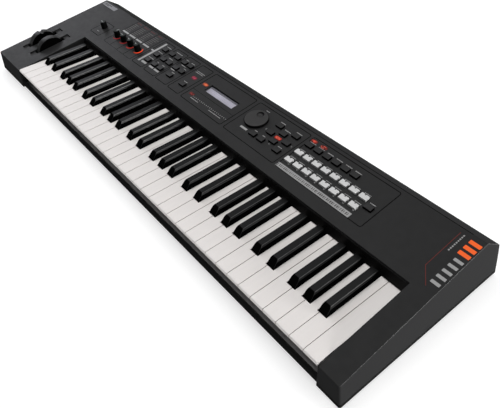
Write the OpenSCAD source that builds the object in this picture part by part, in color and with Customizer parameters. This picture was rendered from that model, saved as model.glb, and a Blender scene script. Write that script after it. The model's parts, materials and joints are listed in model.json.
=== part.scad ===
// Compact 61-key performance synthesizer: every sub-part is its own solid.
// +X runs up the keyboard, +Y away from the player, +Z up. The origin is on the
// table, under the middle of the case.

/* [Case] */
// Width of the case between its ends, at the front edge of the panel
case_w = 984; // [984:1:1000]
// Depth of the case, front to back
case_d = 300; // [300:1:306]
// Height of the rubber feet under the case
foot_h = 6; // [4:0.5:10]
// Height of the case at its front top edge, without the feet
front_h = 39.9; // [39:0.1:42]
// Rise of the top panel for each mm of depth
panel_rise = 0.12; // [0.1:0.005:0.14]
// Distance from the front edge to the ridge of the top panel
ridge_y = 267.5; // [265:0.5:270]
// Drop of the rear slope behind the ridge
rear_drop = 20.5; // [14:0.5:24]
// Thickness of the case walls
wall = 2.5; // [2:0.1:3]
// Radius of the case's upright corners
corner_r = 3; // [2:0.5:8]
// Extra reach of each end wall at its foot, over its reach at the front edge of the panel
end_flare = 4; // [0:0.5:6]
// Width of the end block with the wheels
left_block_w = 103.5; // [103:0.5:105]

/* [Keys] */
// Spacing of the white keys
white_pitch = 23.5; // [23.4:0.05:23.6]
// Gap between two white keys
white_gap = 0.9; // [0.6:0.1:1.2]
// Length of a white key in front of the black keys
white_head = 51; // [49:0.5:52]
// Width of a black key at its foot
black_w = 13.7; // [13:0.1:14]
// Width of a black key's flat top
black_top_w = 9; // [8:0.1:10]
// Height of a black key above the white keys
black_h = 11.5; // [10:0.1:12.5]
// Length of a black key's cap
black_len = 93; // [90:0.5:94]
// Free space on each side of a black key
black_side_gap = 1; // [0.8:0.1:1.2]
// Distance from the key fronts to their pivot
pivot_y = 195; // [192:0.5:198]

/* [Controls] */
// Width of a button
button_w = 13.8; // [12:0.1:14]
// Depth of a button
button_d = 9; // [8:0.1:10]
// Height of a button above the panel
button_h = 3.3; // [2.5:0.1:4]
// Height of a knob above the panel
knob_h = 15; // [10:0.5:18]
// Radius of a knob's grip
knob_r = 6.6; // [6:0.1:7]
// Radius of the data dial
dial_r = 20.8; // [18:0.1:22]
// Height of the data dial above the panel
dial_h = 4.6; // [4:0.1:6]
// Radius of the two performance wheels
wheel_r = 30.5; // [30:0.5:31]
// Width of a performance wheel
wheel_w = 15.6; // [14:0.1:16]
// Width of the display opening
display_w = 79.2; // [76:0.1:82]
// Depth of the display opening, front to back
display_d = 18.8; // [17:0.1:20]

/* [Hidden] */
$fn = 48;

eps = 0.01;
// Case: heights above the table, and distances from the front edge and the left end
base_z = foot_h;
floor_z = base_z + wall;
parting_z = base_z + 6;
panel_front_z = base_z + front_h;
panel_tilt = atan(panel_rise);
ridge_z = panel_front_z + panel_rise * ridge_y;
rear_top_y = case_d - 4;
rear_top_z = ridge_z - rear_drop;
rear_lean = (case_d - rear_top_y) / (rear_top_z - base_z);
end_tilt = atan(end_flare / (panel_front_z - base_z));
cavity_y = 155;
chamfer = 5;
far = 200;

// Keyboard: 36 white and 25 black keys, C to C
white_count = 36;
key_count = 61;
key_side_gap = 1;
keys_w = white_count * white_pitch;
keys_x = left_block_w + key_side_gap - case_w / 2;
keys_y = 1 - case_d / 2;
keys_z = panel_front_z + 2.1;
cavity_w = keys_w + 2 * key_side_gap;
key_body_h = 14;
key_body_end = 184;
key_wall = 1.5;
lip_h = 4.5;
lip_y = 14;
pivot_z = -9;
pivot_r = 1.5;
pivot_bore_r = 1.55;
hub_r = 4;
hub_w = 8;
dome_y = 90;
key_top_wall = 2.2;
key_chamfer = 0.8;
// White keys' places in an octave, or -1 for a black key
WHITE_STEP = [0, -1, 1, -1, 2, 3, -1, 4, -1, 5, -1, 6];
// Each black key's joint between white keys, and how far its middle lies from it
BLACK_JOINT = [0, 1, 0, 2, 0, 0, 4, 0, 5, 0, 6, 0];
BLACK_SHIFT = [0, -3.9, 0, 3.9, 0, 0, -3.2, 0, 0.3, 0, 3.9, 0];

// Keybed, measured down from the white keys' tops
frame_t = 1.2;
frame_top = -34.8;
frame_y0 = 8;
frame_y1 = 205;
frame_bearing_r = 4;
stop_rail_y = 30;
stop_rail_w = 12;
stop_rail_top = -25.4;
felt_h = 2.8;
board_t = 1.6;
contact_board_top = -28.4;
contact_y0 = 72;
contact_y1 = 108;
dome_base_h = 1.5;
dome_h = 7;

// Buttons: [x, y] from the left end and the front edge
row_rear = 241;
row_mid = 220;
row_front = 199;
row_y = [row_rear, row_mid, row_front];
SONG = [for (y = row_y) [289, y]];
PART = [for (y = row_y, x = [313.5, 332.5]) [x, y]];
FUNCTION = concat([for (y = [row_rear, row_mid], x = [356, 374.5]) [x, y]],
    [[365.2, row_front], [407.5, row_front]]);
CURSOR_V = [[643.8, 231.3], [643.8, 209.2]];
CURSOR_H = [for (x = [625.5, 662.5]) [x, row_mid]];
COMMAND = concat([for (x = [625.5, 662.5]) [x, row_rear]],
    [for (x = [606.5, 625.5, 662.5]) [x, row_front]], [[838.7, 208.9]]);
bank_x = 692.5;
bank_pitch = 18.44;
MODE = [for (i = [0:5]) [bank_x + i * bank_pitch, row_rear]];
CATEGORY_REAR = [for (i = [0:7]) [bank_x + i * bank_pitch, row_mid - 1]];
CATEGORY_FRONT = [for (i = [0:7]) [bank_x + i * bank_pitch, row_front - 1]];
BUTTONS = concat(SONG, PART, FUNCTION, CURSOR_V, CURSOR_H, COMMAND, MODE, CATEGORY_REAR,
    CATEGORY_FRONT);
button_gap = 0.35;
button_travel = 1;
flange = 1.2;
flange_top = -wall - 0.4;
flange_h = 1.1;
pad_top = flange_top - flange_h - button_travel - 0.3;
pad_h = 1;
pad_base = 0.5;
board_top = pad_top - pad_h;
panel_board_y0 = 182;
panel_board_y1 = 262;

// Knobs, dial, display and lamps
VOLUME = [106.5, 203.5];
ASSIGN = [for (i = [0:3]) [162 + 26.7 * i, 204.5]];
KNOBS = concat([VOLUME], ASSIGN);
DIAL = [584.4, 225.7];
stem_r = 3;
stem_bore_r = 3.05;
stem_low = -5.2;
stem_hole_r = 3.6;
ring_r = 12.2;
ring_h = 0.7;
DISPLAY = [490, 225];
display_depth = 4.6;
collar = 2;
lamp_gap = 0.1;
// Lamps: [x, y, width, depth]
LAMPS = [[408.5, 225, 13, 8], [441.5, 227, 13, 7], [443, 194.5, 13, 7], [643.2, 220.2, 14, 7.4],
    [690.8, 253, 13, 7], [711.2, 253, 13, 7]];

// Wheels
PITCH_X = 31;
MOD_X = 68;
wheel_y = 89;
wheel_drop = 12.5;
wheel_z = panel_front_z + panel_rise * wheel_y - wheel_drop;
wheel_hub_r = 18;
well_w = 17;
well_l = 91;
well_depth = 3.2;
slot_l = 67;
axle_r = 3;
axle_bore_r = 3.05;
bracket_t = 2;
bracket_l = 15;
bracket_r = 83;
// Width of a rotary sensor at the end of the axle, and its radius
sensor_w = 5;
sensor_r = 8.5;

// Rear sockets: x from the middle, all at one height
socket_z = 30;
jack_board_z = 22;
jack_board_y = 104;
jack_leg_r = 2.5;
JACKS_X = [-225, -190, -160, -100, -70];
AUX_X = -130;
MIDI_X = [-35, -10];
USB_B_X = 25;
USB_A_X = 55;
DC_X = 95;
POWER_X = 130;
jack_front_y = 144.4;
socket_face_y = 148.2;
jack_nose_r = 4.6;
jack_bore_r = 3.2;
hole_y0 = 140;
hole_y1 = 155;
aux_nose_r = 3.3;
midi_r = 7.9;
dc_r = 3.9;

// Fixings: [x, y] from the middle of the case
FEET = [for (x = [-440, 0, 440], y = [-118, 112]) [x, y]];
CASE_SCREWS = concat([for (x = [-482, -290, 290, 482]) [x, 136]],
    [for (x = [-482, 476], y = [-138, 0]) [x, y]]);
FRAME_POSTS = [for (x = [-370, -100, 170, 440], y = [-130, 40]) [x, y]];
MAIN_BOARD = [-150, 66, 120, 128];
MAIN_BOARD_POSTS = [for (x = [-143, 113], y = [72, 122]) [x, y]];
FLOOR_RIBS_Y = [-66, -33];
floor_rib_w = 560;
floor_rib_t = 2;
floor_rib_h = 6;
rib_gap = 0.6;
CABLES_X = [-130, 95];
cable_w = 22;
cable_y = 80;
case_bore_r = 1.5;
post_r = 4;
screw_r = 1.1;
screw_head_r = 2.4;
screw_head_h = 1.6;
main_board_z = foot_h + 12;
// Board screws in the top panel: [x, y] from the left end and the front edge
PANEL_SCREWS = [for (x = [126, 342.5, 422, 565, 675, 846], y = [186, 258]) [x, y]];

// ---- Helpers ----
function panel_z(y) = panel_front_z + panel_rise * y;
function rear_y(z) = case_d / 2 - rear_lean * (z - base_z);
function is_black(p) = WHITE_STEP[p] < 0;
function black_middle(n) =
    floor(n / 12) * 7 * white_pitch + BLACK_JOINT[n % 12] * white_pitch + BLACK_SHIFT[n % 12];
function white_left(n) = (floor(n / 12) * 7 + WHITE_STEP[n % 12]) * white_pitch + white_gap / 2;
function white_right(n) = white_left(n) + white_pitch - white_gap;
function has_black(n) = n > 0 && n < key_count && is_black(n % 12);
function tail_left(n) =
    has_black(n - 1) ? black_middle(n - 1) + black_w / 2 + black_side_gap : white_left(n);
function tail_right(n) =
    has_black(n + 1) ? black_middle(n + 1) - black_w / 2 - black_side_gap : white_right(n);
function key_middle(n) = is_black(n % 12) ? black_middle(n) : (tail_left(n) + tail_right(n)) / 2;

// Puts children on the sloping top panel, at a place from the left end and the front edge
module at_panel(p) {
    translate([p[0] - case_w / 2, p[1] - case_d / 2, panel_z(p[1])])
        rotate([panel_tilt, 0, 0]) children();
}

// Puts children in the keys' own frame: front left corner of the first white key's top
module at_keys() {
    translate([keys_x, keys_y, keys_z]) children();
}

// Sweeps a side view, drawn as [y, z], along X
module sweep_x(x0, x1) {
    translate([x0, 0, 0]) rotate([90, 0, 90]) linear_extrude(x1 - x0) children();
}

module box(lo, hi) {
    translate(lo) cube(hi - lo);
}

// A box centred on X and Y
module block(w, d, z0, z1) {
    translate([-w / 2, -d / 2, z0]) cube([w, d, z1 - z0]);
}

module rod_x(r, x0, x1) {
    translate([x0, 0, 0]) rotate([0, 90, 0]) cylinder(r = r, h = x1 - x0);
}

module rod_y(r, y0, y1) {
    translate([0, y0, 0]) rotate([-90, 0, 0]) cylinder(r = r, h = y1 - y0);
}

// ---- Case ----
// Side view of the upper shell, drawn in by t on every wall
module case_section(t) {
    f = -case_d / 2 + t;
    slope = sqrt(1 + panel_rise * panel_rise);
    rear_run = rear_top_y - ridge_y;
    rear_slope = rear_drop / rear_run;
    rear_drop_t = t * sqrt(1 + rear_slope * rear_slope);
    // The ridge moves to where the two inner faces meet
    shift = (rear_drop_t - t * slope) / (panel_rise + rear_slope);
    y_ridge = ridge_y - case_d / 2 - shift;
    z_ridge = ridge_z - t * slope - panel_rise * shift;
    y_rear = rear_top_y - case_d / 2 - t;
    z_rear = rear_top_z - rear_drop_t + rear_slope * t;
    z_low = t > 0 ? parting_z - 1 : parting_z;
    polygon([[f, z_low], [f, panel_z(f + case_d / 2) - t * slope], [y_ridge, z_ridge],
        [y_rear, z_rear], [rear_y(z_low) - t, z_low]]);
}

// What lies outside the right end wall, which leans in towards the top, and outside its rounded corners
module past_end(t) {
    r = max(corner_r - t, 0.5);
    translate([case_w / 2 + end_flare - t, 0, base_z]) rotate([0, -end_tilt, 0]) {
        box([0, -far, -base_z], [3 * end_flare + t, far, far]);
        translate([0, 0, -base_z]) linear_extrude(far) for (end = [-1, 1]) difference() {
            translate([-r, end * (case_d / 2 - t + (1 - r) / 2) - (r + 1) / 2]) square(r + 1);
            translate([-r, end * (case_d / 2 - t - r)]) circle(r + eps);
        }
    }
}

module past_ends(t) {
    past_end(t);
    mirror([1, 0, 0]) past_end(t);
}

module wheel_well(x) {
    at_panel([x, wheel_y]) {
        block(well_w, well_l, -well_depth, 1);
        block(well_w, slot_l, -10, 1);
    }
}

module top_case_openings() {
    for (b = BUTTONS)
        at_panel(b) block(button_w + 2 * button_gap, button_d + 2 * button_gap, -wall - 2, 1);
    for (k = concat(KNOBS, [DIAL]))
        at_panel(k) translate([0, 0, -wall - 2]) cylinder(r = stem_hole_r, h = wall + 4);
    at_panel(DISPLAY) block(display_w, display_d, -display_depth - 2, 1);
    for (l = LAMPS)
        at_panel([l[0], l[1]]) block(l[2] + 2 * lamp_gap, l[3] + 2 * lamp_gap, -wall - 2, 1);
    wheel_well(PITCH_X);
    wheel_well(MOD_X);
}

module rear_openings() {
    translate([0, 0, socket_z]) {
        for (x = JACKS_X) translate([x, 0, 0]) rod_y(jack_nose_r + 0.3, hole_y0, hole_y1);
        translate([AUX_X, 0, 0]) rod_y(aux_nose_r + 0.3, hole_y0, hole_y1);
        for (x = MIDI_X) translate([x, 0, 0]) rod_y(midi_r + 0.3, hole_y0, hole_y1);
        translate([DC_X, 0, 0]) rod_y(dc_r + 0.3, hole_y0, hole_y1);
        translate([USB_B_X, 0, 0]) box([-5.2, hole_y0, -4.7], [5.2, hole_y1, 4.7]);
        translate([USB_A_X, 0, 0]) box([-7.3, hole_y0, -3.9], [7.3, hole_y1, 3.9]);
        translate([POWER_X, 0, 0]) box([-6, hole_y0, -4], [6, hole_y1, 4]);
    }
}

module top_case() {
    half = case_w / 2;
    back = cavity_y - case_d / 2;
    inner_l = -half + left_block_w;
    inner_r = inner_l + cavity_w;
    color("#3d3d3f") difference() {
        union() {
            difference() {
                difference() {
                    sweep_x(-half - end_flare, half + end_flare) case_section(0);
                    past_ends(0);
                }
                // Hollow of the shell, without the walls beside the keys
                difference() {
                    sweep_x(-half - end_flare, half + end_flare) case_section(wall);
                    past_ends(wall);
                    box([inner_l - wall, -far, 0], [inner_r + wall, back, far]);
                }
                box([inner_l, -far, 0], [inner_r, back, far]);
            }
            // Collars that line the wheel wells and the display opening
            for (x = [PITCH_X, MOD_X])
                at_panel([x, wheel_y])
                    block(well_w + 2 * collar, well_l + 2 * collar, -well_depth - collar, -wall + 0.5);
            at_panel(DISPLAY)
                block(display_w + 2 * collar, display_d + 2 * collar, -display_depth, -wall + 0.5);
            for (p = PANEL_SCREWS)
                at_panel(p) translate([0, 0, board_top]) cylinder(r = 3, h = -wall + 0.5 - board_top);
            // Posts for the case screws, merged with the shell's roof
            intersection() {
                sweep_x(-half, half) case_section(1);
                for (p = CASE_SCREWS)
                    translate([p[0], p[1], parting_z - 1]) cylinder(r = post_r, h = far);
            }
        }
        top_case_openings();
        rear_openings();
        for (p = CASE_SCREWS)
            translate([p[0], p[1], floor_z - 1]) cylinder(r = case_bore_r, h = 20);
        for (p = PANEL_SCREWS)
            at_panel(p) translate([0, 0, board_top - 1]) cylinder(r = screw_r, h = 5.5);
    }
}

module bottom_case() {
    half = case_w / 2;
    inner_l = -half + left_block_w;
    front = keys_y;
    color("#2c2c2e") difference() {
        union() {
            // Floor, and the rim that the upper shell stands on
            difference() {
                box([-half - end_flare, -case_d / 2, base_z], [half + end_flare, case_d / 2, 2 * parting_z]);
                past_ends(0);
                box([-case_w, -case_d, parting_z], [case_w, case_d, far]);
                box([wall - half, wall - case_d / 2, floor_z], [half - wall, case_d / 2 - wall, far]);
            }
            // Rail under the key fronts, with a bevelled top edge
            sweep_x(inner_l, inner_l + cavity_w)
                polygon([[front, base_z], [front, keys_z - 28.3], [front + 2.3, keys_z - 26],
                    [front + 4, keys_z - 26], [front + 4, base_z]]);
            for (p = FRAME_POSTS)
                translate([p[0], p[1], base_z])
                    cylinder(r = post_r, h = keys_z + frame_top - frame_t - base_z);
            for (p = MAIN_BOARD_POSTS)
                translate([p[0], p[1], base_z]) cylinder(r = post_r, h = main_board_z - base_z);
            // Stiffening ribs along the floor under the keys
            for (y = FLOOR_RIBS_Y)
                box([-floor_rib_w / 2, y, floor_z - 1],
                    [floor_rib_w / 2, y + floor_rib_t, floor_z + floor_rib_h]);
        }
        // The front edge is cut back between the end blocks
        box([inner_l, -far, 0], [inner_l + cavity_w, front, far]);
        sweep_x(inner_l, inner_l + cavity_w)
            polygon([[front - 1, base_z - 1], [front - 1, base_z + chamfer + 1],
                [front + chamfer + 1, base_z - 1]]);
        for (p = CASE_SCREWS) translate([p[0], p[1], 0]) {
            cylinder(r = 1.9, h = 20);
            cylinder(r = 3.6, h = base_z + 1);
        }
        for (p = FRAME_POSTS) translate([p[0], p[1], base_z + 1]) cylinder(r = screw_r, h = far);
        for (p = MAIN_BOARD_POSTS) translate([p[0], p[1], base_z + 4]) cylinder(r = screw_r, h = far);
    }
}

module rubber_feet() {
    color("#151515") for (f = FEET)
        translate([f[0], f[1], 0]) {
            cylinder(r1 = 9, r2 = 10, h = 1.5);
            translate([0, 0, 1.5]) cylinder(r = 10, h = foot_h - 1.5);
        }
}

module name_badge() {
    color("#8d8d90") at_panel([36.5, 257.5]) block(54, 10.5, 0, 0.6);
}

module case_screws() {
    color("#333333") for (p = CASE_SCREWS)
        translate([p[0], p[1], 0]) difference() {
            union() {
                translate([0, 0, base_z - 1.4]) cylinder(r = 3.2, h = 2.4);
                translate([0, 0, base_z + 1 - eps]) cylinder(r = 1.5, h = 14);
            }
            translate([0, 0, base_z - 2]) block(3.6, 0.8, 0, 1.6);
            translate([0, 0, base_z - 2]) block(0.8, 3.6, 0, 1.6);
        }
}

// Glossy strip behind the keys, tucked under the edge of the panel
module key_strip() {
    color("#121214") at_keys() sweep_x(-key_side_gap, keys_w + key_side_gap)
        polygon([[147.5, 0.8], [153, 13.8], [161, 14.7], [161, 13.2], [154.2, 12.4], [149, 0.8]]);
}

// ---- Keybed ----
module keybed_frame() {
    supports = [for (o = [0:5]) (o < 5 ? o * 7 : 35) * white_pitch];
    color("#a5a8ab") at_keys() difference() {
        union() {
            box([-0.5, frame_y0, frame_top - frame_t], [keys_w + 0.5, frame_y1, frame_top]);
            // Raised channel that the keys stop on
            sweep_x(-0.5, keys_w + 0.5) polygon([[stop_rail_y, frame_top - frame_t],
                [stop_rail_y, stop_rail_top], [stop_rail_y + stop_rail_w, stop_rail_top],
                [stop_rail_y + stop_rail_w, frame_top - frame_t]]);
            // Uprights that carry the pivot rod
            for (x = concat(supports, [keys_w]))
                if (x < keys_w - 30 || x > keys_w - 1)
                    sweep_x(x - 1 + (x < 1 ? 0.5 : 0), x + 1 - (x > keys_w - 1 ? 0.5 : 0)) {
                        polygon([[pivot_y - 10, frame_top - 0.5], [pivot_y - 4, pivot_z],
                            [pivot_y + 4, pivot_z], [pivot_y + 9, frame_top - 0.5]]);
                        translate([pivot_y, pivot_z]) circle(frame_bearing_r);
                    }
        }
        for (p = FRAME_POSTS)
            translate([p[0] - keys_x, p[1] - keys_y, frame_top - 5]) cylinder(r = screw_r + 0.3, h = 10);
        sweep_x(-2, keys_w + 2) polygon([[stop_rail_y + frame_t, frame_top - 5],
            [stop_rail_y + frame_t, stop_rail_top - frame_t],
            [stop_rail_y + stop_rail_w - frame_t, stop_rail_top - frame_t],
            [stop_rail_y + stop_rail_w - frame_t, frame_top - 5]]);
        translate([0, pivot_y, pivot_z]) rod_x(pivot_r, -5, keys_w + 5);
        // Windows between the octaves
        for (o = [0:4])
            box([(o * 7 + 1) * white_pitch, 124, frame_top - 5],
                [(o * 7 + 6) * white_pitch, 172, frame_top + 5]);
        // Slots that the floor's ribs stand in
        for (y = FLOOR_RIBS_Y) translate([-keys_x, y - keys_y, frame_top])
            box([-floor_rib_w / 2 - rib_gap, -rib_gap, -5],
                [floor_rib_w / 2 + rib_gap, floor_rib_t + rib_gap, 5]);
    }
}

module key_pivot_rod() {
    color("#c4c7ca") at_keys() translate([0, pivot_y, pivot_z]) rod_x(pivot_r, -0.5, keys_w + 0.5);
}

module key_stop_felt() {
    color("#7a1f24") at_keys()
        box([2, stop_rail_y + 0.5, stop_rail_top],
            [keys_w - 2, stop_rail_y + stop_rail_w - 0.5, stop_rail_top + felt_h]);
}

module contact_board() {
    color("#1d5c3a") at_keys() {
        box([4, contact_y0, contact_board_top - board_t], [keys_w - 4, contact_y1, contact_board_top]);
        for (i = [0:7])
            translate([20 + i * (keys_w - 40) / 7, 0, 0])
                box([-3, contact_y0 + 2, frame_top], [3, contact_y0 + 8, contact_board_top - board_t]);
    }
}

module contact_domes() {
    color("#2a2a2c") at_keys() {
        box([5, dome_y - 9, contact_board_top],
            [keys_w - 5, dome_y + 9, contact_board_top + dome_base_h]);
        for (n = [0:key_count - 1])
            translate([key_middle(n), dome_y, contact_board_top + dome_base_h])
                cylinder(r1 = 5, r2 = 3.2, h = dome_h, $fn = 24);
    }
}

// A white key: a hollow cap that narrows between its black neighbours
module white_key(n) {
    l = white_left(n);
    r = white_right(n);
    tl = tail_left(n);
    tr = tail_right(n);
    m = key_middle(n);
    difference() {
        union() {
            difference() {
                translate([0, 0, -key_body_h]) linear_extrude(key_body_h)
                    polygon([[l, 0], [r, 0], [r, white_head - black_side_gap],
                        [tr, white_head - black_side_gap], [tr, key_body_end],
                        [tl, key_body_end], [tl, white_head - black_side_gap],
                        [l, white_head - black_side_gap]]);
                // Thin lip at the front and a broken top edge
                box([l - 1, -1, -key_body_h - 1], [r + 1, lip_y, -lip_h]);
                sweep_x(l - 1, r + 1)
                    polygon([[-1, -key_chamfer], [-1, 1], [key_chamfer, 1], [key_chamfer, 0],
                        [0, -key_chamfer]]);
                box([l + key_wall, lip_y + key_wall, -key_body_h - 1],
                    [r - key_wall, white_head - black_side_gap - key_wall, -key_top_wall]);
                box([tl + key_wall, white_head - 4, -key_body_h - 1],
                    [tr - key_wall, key_body_end - 2, -key_top_wall]);
            }
            box([m - hub_w / 2, key_body_end - 1, pivot_z - hub_r],
                [m + hub_w / 2, pivot_y, pivot_z + hub_r]);
            translate([0, pivot_y, pivot_z]) rod_x(hub_r, m - hub_w / 2, m + hub_w / 2);
        }
        translate([0, pivot_y, pivot_z]) rod_x(pivot_bore_r, m - hub_w, m + hub_w);
    }
}

// A black key: a bevelled cap with a sloping front on a narrow body
module black_key(n) {
    m = black_middle(n);
    f = white_head;
    b = white_head + black_len;
    top = black_top_w / 2;
    foot = black_w / 2;
    translate([m, 0, 0]) difference() {
        union() {
            intersection() {
                sweep_x(-foot, foot) polygon([[f, -1], [f, 0.6], [f + 8, black_h - 1],
                    [f + 9.2, black_h], [b - 0.6, black_h], [b, black_h - 0.6], [b, -1]]);
                translate([0, b + 1, 0]) rotate([90, 0, 0]) linear_extrude(black_len + 2)
                    polygon([[-foot, -1], [foot, -1], [foot - 0.1, 1], [foot - 0.6, black_h - 3.5],
                        [top + 0.7, black_h - 0.6], [top, black_h], [-top, black_h],
                        [-top - 0.7, black_h - 0.6], [0.6 - foot, black_h - 3.5], [0.1 - foot, 1]]);
            }
            box([-4.5, f + 5, -key_body_h + 1], [4.5, key_body_end, -0.9]);
            box([-hub_w / 2, key_body_end - 1, pivot_z - hub_r], [hub_w / 2, pivot_y, pivot_z + hub_r]);
            translate([0, pivot_y, pivot_z]) rod_x(hub_r, -hub_w / 2, hub_w / 2);
        }
        box([-3, f + 11, -key_body_h - 1], [3, b - 3, black_h - 2.5]);
        box([-3, b - 4, -key_body_h - 1], [3, key_body_end - 2, -2.6]);
        translate([0, pivot_y, pivot_z]) rod_x(pivot_bore_r, -hub_w, hub_w);
    }
}

// All the keys of one note name
module keys_of(p) {
    at_keys() for (n = [p:12:key_count - 1])
        if (is_black(p)) color("#1a1a1c") black_key(n);
        else color("#efede6") white_key(n);
}

// ---- Buttons ----
module button(p) {
    at_panel(p) {
        block(button_w, button_d, flange_top - eps, button_h);
        block(button_w + 2 * flange, button_d + 2 * flange, flange_top - flange_h, flange_top);
    }
}

module dark_buttons(places) {
    color("#38383a") for (p = places) button(p);
}

module white_buttons(places) {
    color("#e9e9e6") for (p = places) button(p);
}

// Rubber membrane pieces under the buttons
module button_pads() {
    color("#59595c") for (p = BUTTONS)
        at_panel(p) {
            block(button_w + 2, button_d + 2, board_top, board_top + pad_base);
            translate([0, 0, board_top + pad_base - eps])
                cylinder(r1 = 4, r2 = 3, h = pad_h - pad_base + eps);
        }
}

// ---- Knobs and dial ----
module knob(p) {
    color("#19191b") at_panel(p) difference() {
        union() {
            translate([0, 0, 0.9]) cylinder(r = knob_r + 0.9, h = 1.6);
            translate([0, 0, 2.4]) cylinder(r1 = knob_r + 0.3, r2 = knob_r - 0.3, h = knob_h - 3);
            translate([0, 0, knob_h - 0.6 - eps])
                cylinder(r1 = knob_r - 0.3, r2 = knob_r - 0.9, h = 0.6 + eps);
            translate([0, 0, stem_low]) cylinder(r = stem_r, h = 2 - stem_low);
        }
        // Pointer groove in the top
        translate([0, knob_r / 2, 0]) block(1, knob_r, knob_h - 0.5, knob_h + 1);
    }
}

module knob_rings() {
    color("#e0441f") for (p = ASSIGN)
        at_panel(p) difference() {
            cylinder(r = ring_r, h = ring_h);
            translate([0, 0, -1]) cylinder(r = knob_r + 1.4, h = 3);
        }
}

module data_dial() {
    color("#3a3a3c") at_panel(DIAL) difference() {
        union() {
            translate([0, 0, 0.5]) cylinder(r = dial_r, h = dial_h - 1.1, $fn = 96);
            translate([0, 0, dial_h - 0.6 - eps])
                cylinder(r1 = dial_r, r2 = dial_r - 0.6, h = 0.6 + eps, $fn = 96);
            translate([0, 0, stem_low]) cylinder(r = stem_r, h = 1 - stem_low);
        }
        // Dish for a fingertip
        translate([-1.5, 10.5, dial_h + 12]) sphere(r = 13.6, $fn = 64);
    }
}

module potentiometers() {
    color("#4a6b8c") {
        for (k = KNOBS)
            at_panel(k) difference() {
                block(11, 11, board_top, -wall - 0.3);
                translate([0, 0, stem_low - 0.2]) cylinder(r = stem_bore_r, h = 5);
            }
        // Rotary sensors on both ends of the wheels' axle
        wheel_at(0) difference() {
            union() {
                rod_x(sensor_r, bracket_l - sensor_w, bracket_l);
                rod_x(sensor_r, bracket_r, bracket_r + sensor_w);
            }
            rod_x(axle_bore_r, 0, far);
        }
    }
}

module dial_encoder() {
    color("#8a8f94") at_panel(DIAL) difference() {
        block(14, 14, board_top, -wall - 0.3);
        translate([0, 0, stem_low - 0.2]) cylinder(r = stem_bore_r, h = 5);
    }
}

// ---- Display and lamps ----
module lcd_module() {
    at_panel(DISPLAY) {
        color("#c9c6dc") block(display_w + 4, display_d + 4, -display_depth - 3, -display_depth - eps);
        color("#1d5c3a")
            block(display_w + 20, display_d + 18, -display_depth - 3 - board_t, -display_depth - 3);
    }
}

module lcd_window() {
    color("#d8d8e4", 0.35) at_panel(DISPLAY)
        block(display_w - 0.4, display_d - 0.4, -display_depth, -display_depth + 0.8);
}

module panel_lamps() {
    color("#f0522a") for (l = LAMPS)
        at_panel([l[0], l[1]]) block(l[2], l[3], -wall - 0.6, 0.3);
}

// ---- Wheels ----
// Side view of a wheel: its rim from one angle to another, measured from the top
module wheel_side(a0, a1) {
    difference() {
        circle(wheel_r, $fn = 96);
        polygon(concat([[0, 0]], [for (i = [0:6]) let (a = a1 + i * (360 - a1 + a0) / 6)
            [far * sin(a), far * cos(a)]]));
    }
    circle(wheel_hub_r);
}

module wheel_at(x) {
    translate([x - case_w / 2, wheel_y - case_d / 2, wheel_z]) children();
}

module pitch_wheel() {
    color("#141416") wheel_at(PITCH_X) difference() {
        sweep_x(-wheel_w / 2, wheel_w / 2) wheel_side(-115, 115);
        rod_x(axle_bore_r, -20, 20);
        // Thumb notch at the centre position
        translate([0, 0, wheel_r + 1.2]) rod_x(4.2, -20, 20);
    }
}

module modulation_wheel() {
    color("#141416") wheel_at(MOD_X) difference() {
        sweep_x(-wheel_w / 2, wheel_w / 2) wheel_side(-140, 85);
        rod_x(axle_bore_r, -20, 20);
    }
}

module wheel_bracket() {
    base_top = floor_z + bracket_t - wheel_z;
    middle = (bracket_l + bracket_r - bracket_t) / 2;
    color("#8f9296") wheel_at(0) difference() {
        union() {
            box([bracket_l, -34, floor_z - wheel_z], [bracket_r, 34, base_top]);
            for (x = [bracket_l, middle, bracket_r - bracket_t])
                sweep_x(x, x + bracket_t) {
                    polygon([[-16, base_top - 1], [-9, 0], [9, 0], [16, base_top - 1]]);
                    circle(9);
                }
        }
        rod_x(axle_r, 0, far);
    }
}

module wheel_axle() {
    color("#c4c7ca") wheel_at(0) rod_x(axle_r, bracket_l - sensor_w - 1, bracket_r + sensor_w + 1);
}

// ---- Boards and cables ----
module main_board() {
    color("#1d5c3a") difference() {
        union() {
            box([MAIN_BOARD[0], MAIN_BOARD[1], main_board_z],
                [MAIN_BOARD[2], MAIN_BOARD[3], main_board_z + board_t]);
            // Chips
            for (x = [-110, -40, 30, 85])
                translate([x, 84, main_board_z]) cube([20, 20, board_t + 2]);
        }
        for (p = MAIN_BOARD_POSTS) translate([p[0], p[1], 0]) cylinder(r = screw_r + 0.3, h = far);
    }
}

module panel_board(x0, x1) {
    at_panel([x0, panel_board_y0]) translate([0, 0, board_top - board_t])
        cube([x1 - x0, (panel_board_y1 - panel_board_y0) / cos(panel_tilt), board_t]);
}

module panel_boards() {
    color("#1d5c3a") difference() {
        union() {
            panel_board(90, 428);
            panel_board(557, 852);
        }
        for (p = PANEL_SCREWS)
            at_panel(p) translate([0, 0, board_top - 5]) cylinder(r = screw_r + 0.3, h = 10);
    }
}

// A screw whose head stands on z = 0 and whose shank points down
module small_screw(length) {
    cylinder(r = screw_head_r, h = screw_head_h);
    translate([0, 0, -length]) cylinder(r = screw_r, h = length + eps);
}

// The same small screw holds the boards and the keybed frame
module board_screws() {
    color("#b9bcc0") {
        for (p = PANEL_SCREWS)
            at_panel(p) translate([0, 0, board_top - board_t]) mirror([0, 0, 1]) small_screw(5);
        for (p = MAIN_BOARD_POSTS)
            translate([p[0], p[1], main_board_z + board_t]) small_screw(7);
        for (p = FRAME_POSTS)
            translate([p[0], p[1], keys_z + frame_top]) small_screw(5);
    }
}

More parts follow.
